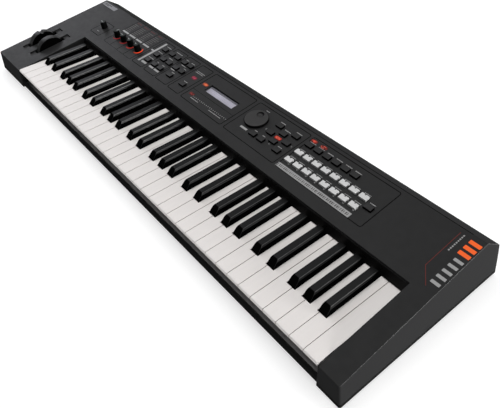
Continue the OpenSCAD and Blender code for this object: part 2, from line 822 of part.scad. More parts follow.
module ribbon_cables() {
    top = panel_z(cable_y + case_d / 2) + (board_top - board_t) / cos(panel_tilt);
    color("#d9d9d9") for (x = CABLES_X)
        sweep_x(x, x + cable_w)
            polygon([[cable_y, main_board_z + board_t], [cable_y, top],
                [cable_y + 1, top + panel_rise], [cable_y + 1, main_board_z + board_t]]);
}

// ---- Rear sockets ----
module jack_board() {
    color("#1d5c3a") {
        box([-245, jack_board_y, jack_board_z], [150, 143, jack_board_z + board_t]);
        for (x = [-235, -115, 5, 145])
            translate([x, 136, floor_z]) cylinder(r = jack_leg_r, h = jack_board_z - floor_z);
    }
}

module audio_jacks() {
    low = jack_board_z + board_t;
    color("#1b1b1d") for (x = JACKS_X)
        translate([x, 0, 0]) difference() {
            union() {
                box([-7, 118, low], [7, jack_front_y, socket_z + 7]);
                translate([0, 0, socket_z]) rod_y(jack_nose_r, jack_front_y - 1, 149.4);
            }
            translate([0, 0, socket_z]) rod_y(jack_bore_r, 121, 155);
        }
    color("#1b1b1d") translate([AUX_X, 0, 0]) difference() {
        union() {
            box([-4.5, 130, low], [4.5, jack_front_y, socket_z + 4.5]);
            translate([0, 0, socket_z]) rod_y(aux_nose_r, jack_front_y - 1, 148.6);
        }
        translate([0, 0, socket_z]) rod_y(1.8, 132, 155);
    }
}

module midi_sockets() {
    low = jack_board_z + board_t;
    color("#232325") for (x = MIDI_X)
        translate([x, 0, 0]) difference() {
            union() {
                box([-9, 128, low], [9, jack_front_y, socket_z + 8.5]);
                translate([0, 0, socket_z]) rod_y(midi_r, jack_front_y - 1, socket_face_y);
            }
            translate([0, 0, socket_z]) {
                rod_y(6.8, 146.8, 155);
                for (a = [0:45:180])
                    rotate([0, a, 0]) translate([3.75, 0, 0]) rod_y(0.8, 135, 155);
            }
        }
}

module usb_ports() {
    low = jack_board_z + board_t;
    color("#b4b7ba") {
        translate([USB_A_X, 0, 0]) difference() {
            union() {
                box([-7, 131, low], [7, jack_front_y, socket_z + 3.6]);
                box([-7, 131, socket_z - 3.6], [7, socket_face_y, socket_z + 3.6]);
            }
            box([-6.2, 138, socket_z - 2.6], [6.2, hole_y1, socket_z + 2.6]);
        }
        translate([USB_B_X, 0, 0]) difference() {
            union() {
                box([-5, 131, low], [5, jack_front_y, socket_z + 4.4]);
                box([-5, 131, socket_z - 4.4], [5, socket_face_y, socket_z + 4.4]);
            }
            box([-4.2, 138, socket_z - 3.8], [4.2, hole_y1, socket_z + 3.8]);
        }
    }
}

module dc_inlet() {
    low = jack_board_z + board_t;
    color("#1b1b1d") translate([DC_X, 0, 0]) {
        difference() {
            union() {
                box([-5, 130, low], [5, jack_front_y, socket_z + 5]);
                translate([0, 0, socket_z]) rod_y(dc_r, jack_front_y - 1, socket_face_y);
            }
            translate([0, 0, socket_z]) rod_y(2.9, 135, 155);
        }
        translate([0, 0, socket_z]) rod_y(1, 134.5, 147);
    }
}

module power_switch() {
    low = jack_board_z + board_t;
    color("#232325") translate([POWER_X, 0, 0]) difference() {
        box([-8, 124, low], [8, 140, socket_z + 6]);
        box([-3.4, 134, socket_z - 2.4], [3.4, 141, socket_z + 2.4]);
    }
}

module power_button() {
    color("#2a2a2c") translate([POWER_X, 0, socket_z]) {
        box([-5.5, 143, -3.5], [5.5, case_d / 2, 3.5]);
        box([-3, 137, -2], [3, 143 + eps, 2]);
    }
}

bottom_case();
top_case();
key_strip();
keybed_frame();
key_pivot_rod();
key_stop_felt();
contact_board();
contact_domes();
main_board();
panel_boards();
button_pads();
lcd_module();
lcd_window();
potentiometers();
dial_encoder();
knob_rings();
panel_lamps();
name_badge();
jack_board();
audio_jacks();
midi_sockets();
usb_ports();
dc_inlet();
power_switch();
wheel_bracket();
wheel_axle();
ribbon_cables();
rubber_feet();
case_screws();
board_screws();
keys_of(0);  // key_c
keys_of(1);  // key_c_sharp
keys_of(2);  // key_d
keys_of(3);  // key_d_sharp
keys_of(4);  // key_e
keys_of(5);  // key_f
keys_of(6);  // key_f_sharp
keys_of(7);  // key_g
keys_of(8);  // key_g_sharp
keys_of(9);  // key_a
keys_of(10);  // key_a_sharp
keys_of(11);  // key_b
pitch_wheel();
modulation_wheel();
knob(VOLUME);  // volume_knob
knob(ASSIGN[0]);  // assign_knob_1
knob(ASSIGN[1]);  // assign_knob_2
knob(ASSIGN[2]);  // assign_knob_3
knob(ASSIGN[3]);  // assign_knob_4
data_dial();
power_button();
dark_buttons(SONG);  // song_buttons
dark_buttons(PART);  // part_buttons
dark_buttons(FUNCTION);  // function_buttons
dark_buttons(CURSOR_V);  // cursor_buttons_vertical
dark_buttons(CURSOR_H);  // cursor_buttons_horizontal
dark_buttons(COMMAND);  // command_buttons
dark_buttons(MODE);  // mode_buttons
white_buttons(CATEGORY_REAR);  // category_buttons_rear
white_buttons(CATEGORY_FRONT);  // category_buttons_front
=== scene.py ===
"""Looks of a compact 61-key synthesizer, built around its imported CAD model.

Lengths inside the helpers are in millimetres and turn into metres where a mesh is made. Places on the sloping
panel are (x, y): millimetres from the case's left end and from its front edge.
"""
import json
import math
import random

import bmesh
import bpy
from mathutils import Matrix, Vector


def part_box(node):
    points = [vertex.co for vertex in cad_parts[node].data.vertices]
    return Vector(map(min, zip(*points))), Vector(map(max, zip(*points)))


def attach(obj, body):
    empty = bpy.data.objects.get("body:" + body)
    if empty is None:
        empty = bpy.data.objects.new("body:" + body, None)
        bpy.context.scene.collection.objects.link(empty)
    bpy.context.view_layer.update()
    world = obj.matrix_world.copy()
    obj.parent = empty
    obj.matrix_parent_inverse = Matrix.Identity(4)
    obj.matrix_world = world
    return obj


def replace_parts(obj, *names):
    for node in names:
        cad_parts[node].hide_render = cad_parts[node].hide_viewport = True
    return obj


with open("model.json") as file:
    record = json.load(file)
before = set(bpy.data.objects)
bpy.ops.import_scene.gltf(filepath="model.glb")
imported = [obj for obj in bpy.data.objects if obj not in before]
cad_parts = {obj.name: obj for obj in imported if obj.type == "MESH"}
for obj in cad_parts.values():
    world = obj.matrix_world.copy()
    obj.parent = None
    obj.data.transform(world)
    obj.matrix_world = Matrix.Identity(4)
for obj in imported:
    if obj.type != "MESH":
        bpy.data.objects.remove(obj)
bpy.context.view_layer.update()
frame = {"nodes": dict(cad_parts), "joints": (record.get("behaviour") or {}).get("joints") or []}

MM = 0.001
JOINTS = {joint["name"]: joint for joint in frame["joints"]}
NORMAL = Vector(JOINTS["data_dial_turn"]["axis"]).normalized()
ON_PANEL = Vector(JOINTS["data_dial_turn"]["pos_m"])
UPHILL = Vector((0, NORMAL.z, -NORMAL.y))
# The data dial's place on the panel, which ties the panel's measures to the model's frame
DIAL_X, DIAL_Y = 584.4, 225.7
LEFT, FRONT = ON_PANEL.x - DIAL_X * MM, ON_PANEL.y - DIAL_Y * MM
WHEEL_AXIS = JOINTS["pitch_wheel_turn"]["pos_m"]


# ---- Places ----
def panel_matrix(x, y, turn=0.0):
    """The panel's own axes at a place on it: X along the keyboard, Y uphill, Z out of the panel."""
    at = Vector((LEFT + x * MM, FRONT + y * MM, 0))
    at.z = ON_PANEL.z - (at.y - ON_PANEL.y) * NORMAL.y / NORMAL.z
    axes = Matrix((Vector((1, 0, 0)), UPHILL, NORMAL)).transposed().to_4x4()
    return Matrix.Translation(at) @ axes @ Matrix.Rotation(turn, 4, "Z")


def islands(node):
    """The box of each separate solid of a CAD node, from the left and then from the front."""
    bm = bmesh.new()
    bm.from_mesh(frame["nodes"][node].data)
    bmesh.ops.remove_doubles(bm, verts=bm.verts, dist=1e-6)
    left, boxes = set(bm.verts), []
    while left:
        found, edge = set(), [left.pop()]
        while edge:
            v = edge.pop()
            found.add(v)
            for e in v.link_edges:
                other = e.other_vert(v)
                if other in left:
                    left.discard(other)
                    edge.append(other)
        co = [v.co for v in found]
        low = Vector([min(c[i] for c in co) for i in range(3)])
        high = Vector([max(c[i] for c in co) for i in range(3)])
        boxes.append((low, high))
    bm.free()
    return sorted(boxes, key=lambda b: (round(b[0].x, 4), b[0].y))


def from_case(point):
    """A point of the model's frame as (x, y) from the case's left end and front edge, in mm."""
    return (point.x - LEFT) / MM, (point.y - FRONT) / MM


# ---- Meshes ----
def loft(bm, loops, matrix, closed=True):
    """Skins a row of loops, each a list of points in mm with the same count."""
    rings = [[bm.verts.new(matrix @ (Vector(p) * MM)) for p in loop] for loop in loops]
    n = len(rings[0])
    for low, high in zip(rings, rings[1:]):
        for i in range(n):
            bm.faces.new((low[i], low[(i + 1) % n], high[(i + 1) % n], high[i]))
    if closed:
        bm.faces.new(rings[0][::-1])
        bm.faces.new(rings[-1])
    return rings


def circle(r, z, count):
    return [(r * math.cos(2 * math.pi * i / count), r * math.sin(2 * math.pi * i / count), z)
            for i in range(count)]


def rounded_loop(w, d, r, z=0.0, corner=4, side=4):
    """A rounded rectangle about the origin, with the same count of points whatever its size."""
    r = min(r, w / 2 - 0.01, d / 2 - 0.01)
    points = []
    corners = [(w / 2 - r, d / 2 - r), (r - w / 2, d / 2 - r), (r - w / 2, r - d / 2), (w / 2 - r, r - d / 2)]
    for i, (cx, cy) in enumerate(corners):
        for k in range(corner + 1):
            a = math.pi / 2 * (i + k / corner)
            points.append((cx + r * math.cos(a), cy + r * math.sin(a)))
        end, nxt = math.pi / 2 * (i + 1), corners[(i + 1) % 4]
        x0, y0 = cx + r * math.cos(end), cy + r * math.sin(end)
        x1, y1 = nxt[0] + r * math.cos(end), nxt[1] + r * math.sin(end)
        for k in range(1, side):
            points.append((x0 + (x1 - x0) * k / side, y0 + (y1 - y0) * k / side))
    return [(x, y, z) for x, y in points]


def plate(bm, w, d, r, z0, z1, matrix, edge=0.0):
    """A rounded plate, with its top edge broken by edge."""
    loops = [rounded_loop(w, d, r, z0), rounded_loop(w, d, r, z1 - edge)]
    if edge:
        loops.append(rounded_loop(w - 2 * edge, d - 2 * edge, max(r - edge, 0.05), z1))
    loft(bm, loops, matrix)


def piece(name, bm, material, body="chassis", smooth=None):
    """Makes a piece from a bmesh, and lets it ride on a body. smooth is the sharpest angle shown round."""
    bmesh.ops.recalc_face_normals(bm, faces=bm.faces)
    mesh = bpy.data.meshes.new(name)
    bm.to_mesh(mesh)
    bm.free()
    mesh.materials.append(material)
    made = bpy.data.objects.new(name, mesh)
    bpy.context.scene.collection.objects.link(made)
    if smooth:
        mesh.shade_smooth()
        mesh.set_sharp_from_angle(angle=math.radians(smooth))
    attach(made, body)
    return made


def soften(node, width, segments=2, angle=32):
    """Rounds the edges of a CAD node with modifiers; its own mesh stays as it is."""
    made = frame["nodes"][node]
    weld = made.modifiers.new("weld", "WELD")
    weld.merge_threshold = 1e-6
    bevel = made.modifiers.new("bevel", "BEVEL")
    bevel.width = width * MM
    bevel.segments = segments
    bevel.limit_method = "ANGLE"
    bevel.angle_limit = math.radians(angle)
    bevel.use_clamp_overlap = False
    bevel.harden_normals = True
    bevel.miter_outer = "MITER_ARC"


# ---- Materials ----
class Shader:
    """A Principled material with the few nodes that these surfaces need."""

    def __init__(self, name, roughness, metallic=0.0, specular=0.5, coat=0.0):
        self.material = bpy.data.materials.new(name)
        self.material.use_nodes = True
        self.tree = self.material.node_tree
        self.bsdf = self.tree.nodes["Principled BSDF"]
        self.bsdf.inputs["Roughness"].default_value = roughness
        self.bsdf.inputs["Metallic"].default_value = metallic
        self.bsdf.inputs["Specular IOR Level"].default_value = specular
        self.bsdf.inputs["Coat Weight"].default_value = coat
        self.at = self.tree.nodes.new("ShaderNodeTexCoord").outputs["Object"]

    def link(self, a, b):
        self.tree.links.new(a, b)

    def noise(self, size, detail=2.0, stretch=None):
        """Noise whose features are about size mm across, drawn out by stretch along each axis."""
        at = self.at
        if stretch:
            mapping = self.tree.nodes.new("ShaderNodeMapping")
            mapping.inputs["Scale"].default_value = stretch
            self.link(at, mapping.inputs["Vector"])
            at = mapping.outputs["Vector"]
        made = self.tree.nodes.new("ShaderNodeTexNoise")
        made.inputs["Scale"].default_value = 1 / (size * MM)
        made.inputs["Detail"].default_value = detail
        self.link(at, made.inputs["Vector"])
        return made.outputs["Fac"]

    def spread(self, fac, low, high, start=0.3, end=0.7):
        """Maps fac, from start to end, onto low to high, and holds it at both."""
        made = self.tree.nodes.new("ShaderNodeMapRange")
        for key, value in (("From Min", start), ("From Max", end), ("To Min", low), ("To Max", high)):
            made.inputs[key].default_value = value
        self.link(fac, made.inputs["Value"])
        return made.outputs["Result"]

    def mix(self, fac, a, b):
        """Mixes two colors, or two color outputs, by fac."""
        made = self.tree.nodes.new("ShaderNodeMix")
        made.data_type = "RGBA"
        sockets = [s for s in made.inputs if s.type == "RGBA"]
        for socket, value in zip(sockets, (a, b)):
            if isinstance(value, bpy.types.NodeSocket):
                self.link(value, socket)
            else:
                socket.default_value = (*value, 1)
        self.link(fac, made.inputs["Factor"])
        return [s for s in made.outputs if s.type == "RGBA"][0]

    def math(self, kind, a, b=None):
        made = self.tree.nodes.new("ShaderNodeMath")
        made.operation = kind
        for socket, value in zip(made.inputs, (a, b)):
            if isinstance(value, bpy.types.NodeSocket):
                self.link(value, socket)
            elif value is not None:
                socket.default_value = value
        return made.outputs["Value"]

    def axes(self):
        """The place on the surface, along each axis of the model's frame in metres."""
        made = self.tree.nodes.new("ShaderNodeSeparateXYZ")
        self.link(self.at, made.inputs["Vector"])
        return made.outputs

    def color(self, value):
        if isinstance(value, bpy.types.NodeSocket):
            self.link(value, self.bsdf.inputs["Base Color"])
        else:
            self.bsdf.inputs["Base Color"].default_value = (*value, 1)

    def glowing(self, value, strength):
        """Gives the surface a color output, and lets it shine with that color too."""
        self.color(value)
        self.link(value, self.bsdf.inputs["Emission Color"])
        self.bsdf.inputs["Emission Strength"].default_value = strength

    def roughness(self, value):
        self.link(value, self.bsdf.inputs["Roughness"])

    def normal(self):
        """The way a face looks, along each axis."""
        geometry = self.tree.nodes.new("ShaderNodeNewGeometry")
        parts = self.tree.nodes.new("ShaderNodeSeparateXYZ")
        self.link(geometry.outputs["Normal"], parts.inputs["Vector"])
        return parts.outputs

    def upright(self, low, high, start=0.9, end=0.98):
        """Mixes two values by how level a face is: low on upright faces, high on level ones."""
        return self.spread(self.normal()["Z"], low, high, start, end)

    def sideways(self, low, high, start, end):
        """Mixes two values by how far a face is turned to the left or the right."""
        return self.spread(self.math("ABSOLUTE", self.normal()["X"]), low, high, start, end)

    def rounded(self, edge):
        """The way a face would look if its edges were rounded by edge mm."""
        made = self.tree.nodes.new("ShaderNodeBevel")
        made.samples = 6
        made.inputs["Radius"].default_value = edge * MM
        return made.outputs["Normal"]

    def caught(self, edge):
        """1 on the edges between level faces and those that look to the right, as if rounded by edge mm."""
        parts = self.tree.nodes.new("ShaderNodeSeparateXYZ")
        self.link(self.rounded(edge), parts.inputs["Vector"])
        z = parts.outputs["Z"]
        slant = self.math("MULTIPLY", self.spread(z, 0, 1, 0.2, 0.4), self.spread(z, 1, 0, 0.85, 0.97))
        return self.math("MULTIPLY", slant, self.spread(parts.outputs["X"], 0, 1, 0.2, 0.4))

    def bump(self, height, depth, strength=1.0, edge=0.0):
        """Bump of depth mm where height is 1, over edges that look rounded by edge mm."""
        made = self.tree.nodes.new("ShaderNodeBump")
        if edge:
            self.link(self.rounded(edge), made.inputs["Normal"])
        made.inputs["Distance"].default_value = depth * MM
        made.inputs["Strength"].default_value = strength
        self.link(height, made.inputs["Height"])
        self.link(made.outputs["Normal"], self.bsdf.inputs["Normal"])


def tinted(color, factor):
    """A color made darker or lighter by a factor."""
    return tuple(min(c * factor, 1.0) for c in color)


def moulded(name, color, roughness, grain=0.5, depth=0.02, vary=0.12, specular=0.5, coat=0.0,
            edge=0.0, side=None, right=1.0):
    """Moulded plastic: a fine grain, slow changes of tone, and patches that handling has polished.

    With side, upright faces are duller than level ones, and their color is side times as light: painted light
    and shade on the walls. The color of level faces drifts towards the right end of the case, to right times
    as light at
    its end: a painted fall of light.
    """
    s = Shader(name, roughness, specular=specular, coat=coat)
    tone = s.mix(s.spread(s.noise(60, 3), 0, 1), tinted(color, 1 - vary), tinted(color, 1 + vary))
    if side is not None:
        # Painted light and shade: level faces shift towards right times as light at the right end, and
        # upright faces take side times the color
        tone = s.mix(s.spread(s.axes()["X"], 0, 1, 0.2, 0.5), tone, tinted(color, right))
        tone = s.mix(s.upright(0, 1), tinted(color, side), tone)
        gloss = s.upright(0, specular)
        if edge:
            gloss = s.math("ADD", gloss, s.math("MULTIPLY", s.caught(edge), 0.5))
        s.link(gloss, s.bsdf.inputs["Specular IOR Level"])
    s.color(tone)
    s.roughness(s.spread(s.noise(9, 4), roughness - 0.05, roughness + 0.05))
    s.bump(s.noise(grain, 3), depth, edge=edge)
    return s.material


def rubbery(name, color, roughness=0.62, specular=0.15, top=None):
    """Rubber with a little dust; level faces can take the color top, a lighter painted highlight."""
    s = Shader(name, roughness, specular=specular)
    tone = s.mix(s.spread(s.noise(3, 5), 0, 1), color, tinted(color, 1.6))
    s.color(s.mix(s.upright(0, 1, 0.85, 0.97), tone, top) if top else tone)
    s.roughness(s.spread(s.noise(1.5, 3), roughness - 0.08, roughness + 0.06))
    s.bump(s.noise(0.25, 2), 0.015)
    return s.material


def wheel_finish(name):
    """The wheels: a satin rim with faint ribs for the thumb, and black sides; the rim's lighter color is a
    painted highlight.
    """
    s = Shader(name, 0.45, specular=0.16)
    y, z = (s.math("SUBTRACT", s.axes()[axis], WHEEL_AXIS[i]) for i, axis in ((1, "Y"), (2, "Z")))
    ribs = s.math("SINE", s.math("MULTIPLY", s.math("ARCTAN2", z, y), 150))
    rim = s.sideways(1, 0, 0.3, 0.7)
    tone = s.mix(s.spread(s.noise(6, 3), 0, 1), (0.009, 0.009, 0.0092), (0.015, 0.015, 0.0153))
    # Painted highlight: the rim is several times as light as the near-black sides
    s.color(s.mix(rim, (0.0016, 0.0015, 0.0015), tone))
    s.link(s.math("MULTIPLY", rim, 0.16), s.bsdf.inputs["Specular IOR Level"])
    s.bump(ribs, 0.05, 0.6)
    return s.material


def metal(name, color, roughness, stretch=(1, 1, 1), metallic=1.0):
    """Plated or brushed metal, with its marks drawn out along one axis."""
    s = Shader(name, roughness, metallic=metallic)
    marks = s.noise(0.6, 4, stretch)
    s.color(s.mix(s.spread(marks, 0, 1), tinted(color, 0.86), tinted(color, 1.06)))
    s.roughness(s.spread(marks, roughness - 0.07, roughness + 0.09))
    s.bump(marks, 0.004)
    return s.material


def ink(name, color, glow=0.0, specular=0.1):
    """Printed ink: slightly worn, with the panel's grain showing through; with glow it shines with its own
    color, as painted light.
    """
    s = Shader(name, 0.5, specular=specular)
    worn = s.spread(s.noise(0.7, 4), 0, 1)
    s.color(s.mix(worn, tinted(color, 0.8), color))
    s.bump(s.noise(0.5, 2), 0.01)
    # Painted light: the print glows though it is no lamp
    if glow:
        s.bsdf.inputs["Emission Color"].default_value = (*color, 1)
        s.bsdf.inputs["Emission Strength"].default_value = glow
    return s.material


def key_plastic(name, color, roughness, vary):
    """Polished key tops: nearly even, with faint wear along each key and a soft lustre."""
    s = Shader(name, roughness, specular=0.12)
    streak = s.noise(7, 3, (1, 0.18, 1))
    s.color(s.mix(s.spread(streak, 0, 1), tinted(color, 1 - vary), tinted(color, 1 + vary)))
    s.roughness(s.spread(s.noise(4, 4), roughness - 0.05, roughness + 0.07))
    s.bump(s.noise(0.9, 2), 0.004)
    return s.material


def black_key_top(name, rear):
    """Black keys: matt grained tops, near-black sides, and edges polished by fingers; the tops' lighter color
    is painted light.

    The tops darken over the last centimetre before rear, where the panel's edge shades them.
    """
    s = Shader(name, 0.42, specular=0.05)
    open_part = s.spread(s.axes()["Y"], 1, 0, rear - 14 * MM, rear - 2 * MM)
    top = s.math("MULTIPLY", s.upright(0, 1), open_part)
    # Painted light and shade: lit tops lighter than the near-black sides, and painted shade over the tops'
    # last centimetre before rear
    s.color(s.mix(top, (0.002, 0.002, 0.002), (0.010, 0.0102, 0.0105)))
    edges = s.math("MULTIPLY", s.upright(0, 1, 0.3, 0.5), s.upright(1, 0, 0.93, 0.99))
    edges = s.math("MULTIPLY", edges, s.math("MULTIPLY", s.sideways(0, 1, 0.2, 0.4), open_part))
    s.link(s.math("ADD", edges, s.math("MULTIPLY", top, 0.05)), s.bsdf.inputs["Specular IOR Level"])
    s.roughness(s.spread(s.noise(4, 3), 0.3, 0.42))
    s.bump(s.noise(0.6, 2), 0.006)
    return s.material


def circuit_board(name):
    """A green board with paler tracks under a clear coat."""
    s = Shader(name, 0.4, coat=0.4)
    tracks = s.math("GREATER_THAN", s.noise(1.6, 1, (1, 6, 1)), 0.62)
    s.color(s.mix(tracks, (0.012, 0.10, 0.045), (0.03, 0.2, 0.08)))
    s.roughness(s.spread(s.noise(5, 2), 0.32, 0.5))
    s.bump(tracks, 0.03)
    return s.material


def felt(name, color):
    """Felt with a fibrous, uneven color and a sheen."""
    s = Shader(name, 0.95, specular=0.1)
    fibre = s.noise(0.5, 5, (1, 3, 1))
    s.color(s.mix(s.spread(fibre, 0, 1), tinted(color, 0.6), tinted(color, 1.3)))
    s.bump(fibre, 0.25)
    s.bsdf.inputs["Sheen Weight"].default_value = 0.4
    return s.material


def display_face(name, low, high):
    """A liquid crystal display: faint rows of character cells on a pale violet ground."""
    s = Shader(name, 0.35, specular=0.4)
    x, y, _ = s.axes()
    columns, rows = 20, 2
    column, row = columns / (high.x - low.x), rows / (high.y - low.y)
    across = s.math("FRACT", s.math("MULTIPLY", s.math("SUBTRACT", x, low.x), column))
    along = s.math("FRACT", s.math("MULTIPLY", s.math("SUBTRACT", y, low.y), row))
    cell_x = s.math("LESS_THAN", s.math("ABSOLUTE", s.math("SUBTRACT", across, 0.5)), 0.4)
    cell_y = s.math("LESS_THAN", s.math("ABSOLUTE", s.math("SUBTRACT", along, 0.5)), 0.36)
    cell = s.math("MULTIPLY", cell_x, cell_y)
    ground = s.mix(s.spread(s.noise(25, 2), 0, 1), (0.27, 0.26, 0.30), (0.34, 0.33, 0.38))
    face = s.mix(s.math("MULTIPLY", cell, 0.2), ground, (0.14, 0.13, 0.17))
    # Painted shade of the opening's walls as a black frame, widest where the edges of the opening are deep:
    # at the rear and at the right
    inside = s.math("MULTIPLY", s.math("LESS_THAN", y, high.y - 4.2 * MM),
                    s.math("LESS_THAN", x, high.x - 3.2 * MM))
    inside = s.math("MULTIPLY", inside, s.math("GREATER_THAN", x, low.x + 1.8 * MM))
    face = s.mix(inside, (0.003, 0.003, 0.003), face)
    s.glowing(face, 0.1)
    return s.material


def clear_window(name):
    """A clear pane with faint smears."""
    s = Shader(name, 0.06)
    s.color((0.75, 0.74, 0.85))
    s.roughness(s.spread(s.noise(12, 3), 0.03, 0.12))
    s.bsdf.inputs["Alpha"].default_value = 0.12
    return s.material


CHARCOAL = (0.0195, 0.0195, 0.0198)
# side=1.25 paints the walls lighter, and right=0.7 paints shade that darkens the top towards the right end
case_plastic = moulded("case_plastic", CHARCOAL, 0.5, vary=0.05, specular=0.09, edge=1.3, side=1.25,
                       right=0.7)
# Painted shade: the base's upright walls are 0.9 times as light as its level faces
base_plastic = moulded("base_plastic", (0.012, 0.012, 0.012), 0.5, specular=0.1, edge=0.6, side=0.9)
gloss_black = moulded("gloss_black", (0.003, 0.0028, 0.0028), 0.3, grain=3, depth=0.004, specular=0.12)
white_key_plastic = key_plastic("white_key_plastic", (0.71, 0.68, 0.66), 0.42, 0.015)
black_key_plastic = black_key_top("black_key_plastic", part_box("key_strip")[0].y)
# Painted shade: the buttons' upright sides are a tenth as light as their tops
button_plastic = moulded("button_plastic", (0.018, 0.018, 0.0185), 0.42, grain=0.3, depth=0.01,
                         specular=0.12, side=0.1)
white_button_plastic = moulded("white_button_plastic", (0.50, 0.50, 0.50), 0.38, grain=0.3,
                               depth=0.008, vary=0.04)
socket_plastic = moulded("socket_plastic", (0.009, 0.009, 0.0095), 0.35, grain=0.4)
component_plastic = moulded("component_plastic", (0.03, 0.06, 0.11), 0.45)
# Painted shade: the dial's upright side is about a tenth as light as its top
dial_plastic = moulded("dial_plastic", (0.030, 0.0295, 0.0295), 0.38, grain=0.35, depth=0.012,
                       specular=0.14, side=0.12)
wheel_rubber = wheel_finish("wheel_rubber")
# The knobs' lighter tops are a painted highlight
knob_rubber = rubbery("knob_rubber", (0.0015, 0.0015, 0.0016), 0.5, 0.03, top=(0.026, 0.029, 0.028))
foot_rubber = rubbery("foot_rubber", (0.012, 0.012, 0.012))
dome_rubber = rubbery("dome_rubber", (0.05, 0.05, 0.052))
zinc = metal("zinc_sheet", (0.62, 0.64, 0.66), 0.38, (0.1, 1, 1))
steel = metal("ground_steel", (0.66, 0.66, 0.67), 0.24, (0.05, 1, 1))
black_screw = metal("black_screw", (0.12, 0.12, 0.125), 0.4)
nickel = metal("nickel", (0.72, 0.70, 0.66), 0.2)
badge_metal = metal("badge_metal", (0.13, 0.13, 0.135), 0.5, (0.05, 1, 1), metallic=0.4)
board_green = circuit_board("board_green")
red_felt = felt("red_felt", (0.30, 0.02, 0.03))
ribbon = moulded("ribbon_grey", (0.42, 0.42, 0.42), 0.5, grain=1.2, depth=0.1)
line_black = ink("line_black", (0.002, 0.002, 0.002), specular=0.0)
bar_grey = ink("bar_grey", (0.33, 0.33, 0.33))
label_grey = ink("label_grey", (0.085, 0.08, 0.08))
label_red = ink("label_red", (0.12, 0.018, 0.014))
# The orange marks glow a little: painted light
mark_orange = ink("mark_orange", (0.85, 0.12, 0.02), 0.1)
mark_grey = ink("mark_grey", (0.33, 0.33, 0.33))
lens_dark = moulded("lens_dark", (0.02, 0.02, 0.02), 0.25, grain=1, depth=0.002, coat=0.3)

# What each CAD node is made of, apart from those that a piece replaces
CARRIED = {
    "bottom_case": base_plastic, "top_case": case_plastic, "key_strip": gloss_black, "keybed_frame": zinc,
    "key_pivot_rod": steel, "key_stop_felt": red_felt, "contact_board": board_green,
    "contact_domes": dome_rubber, "main_board": board_green, "panel_boards": board_green,
    "button_pads": dome_rubber, "lcd_window": clear_window("lcd_window_clear"),
    "potentiometers": component_plastic, "dial_encoder": component_plastic,
    "name_badge": badge_metal, "jack_board": board_green, "audio_jacks": socket_plastic,
    "midi_sockets": socket_plastic, "usb_ports": nickel, "dc_inlet": socket_plastic,
    "power_switch": socket_plastic, "song_buttons": button_plastic, "part_buttons": button_plastic,
    "function_buttons": button_plastic, "cursor_buttons_vertical": button_plastic,
    "cursor_buttons_horizontal": button_plastic, "command_buttons": button_plastic,
    "mode_buttons": button_plastic, "category_buttons_rear": white_button_plastic,
    "category_buttons_front": white_button_plastic, "pitch_wheel": wheel_rubber,
    "modulation_wheel": wheel_rubber, "wheel_bracket": zinc, "wheel_axle": steel, "ribbon_cables": ribbon,
    "rubber_feet": foot_rubber, "case_screws": black_screw, "board_screws": nickel,
    "data_dial": dial_plastic, "power_button": button_plastic,
}
for name in frame["nodes"]:
    if name.startswith("key_") and name.replace("_sharp", "")[4:] in list("cdefgab"):
        CARRIED[name] = black_key_plastic if "sharp" in name else white_key_plastic
low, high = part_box("lcd_window")
CARRIED["lcd_module"] = display_face("lcd_face", low, high)
for name, material in CARRIED.items():
    data = frame["nodes"][name].data
    data.materials.clear()
    data.materials.append(material)
    for face in data.polygons:
        face.material_index = 0

soften("key_strip", 0.3)
soften("data_dial", 0.35, 3)
soften("pitch_wheel", 0.7, 3)
soften("modulation_wheel", 0.7, 3)
for name in frame["nodes"]:
    if CARRIED.get(name) in (black_key_plastic, white_key_plastic):
        soften(name, 0.35, 2)


# ---- Panel graphics ----
# Where print begins below the panel's face and ends above it
INK_LOW, INK_HIGH = -0.02, 0.07
# From one button of the long rows to the next
BANK_PITCH = 18.44
MARKS = random.Random(7)


def bar(bm, x0, x1, y0, y1, high=INK_HIGH, r=0.0):
    """A printed bar between two corners on the panel."""
    at = panel_matrix((x0 + x1) / 2, (y0 + y1) / 2)
    if r:
        plate(bm, x1 - x0, y1 - y0, r, INK_LOW, high, at)
    else:
        w, d = (x1 - x0) / 2, (y1 - y0) / 2
        square = [(-w, -d), (w, -d), (w, d), (-w, d)]
        loft(bm, [[(x, y, z) for x, y in square] for z in (INK_LOW, high)], at)


def outline(bm, x0, x1, y0, y1, r=4.0, wide=1.2):
    """A rounded line around a section of the panel."""
    at = panel_matrix((x0 + x1) / 2, (y0 + y1) / 2)
    w, d = x1 - x0, y1 - y0
    inner = w - 2 * wide, d - 2 * wide, r - wide
    loops = [rounded_loop(w, d, r, z) for z in (INK_LOW, INK_HIGH)]
    loops += [rounded_loop(*inner, z) for z in (INK_HIGH, INK_LOW)]
    rings = loft(bm, loops, at, closed=False)
    low, n = (rings[-1], rings[0]), len(rings[0])
    for i in range(n):
        bm.faces.new((low[0][i], low[0][(i + 1) % n], low[1][(i + 1) % n], low[1][i]))


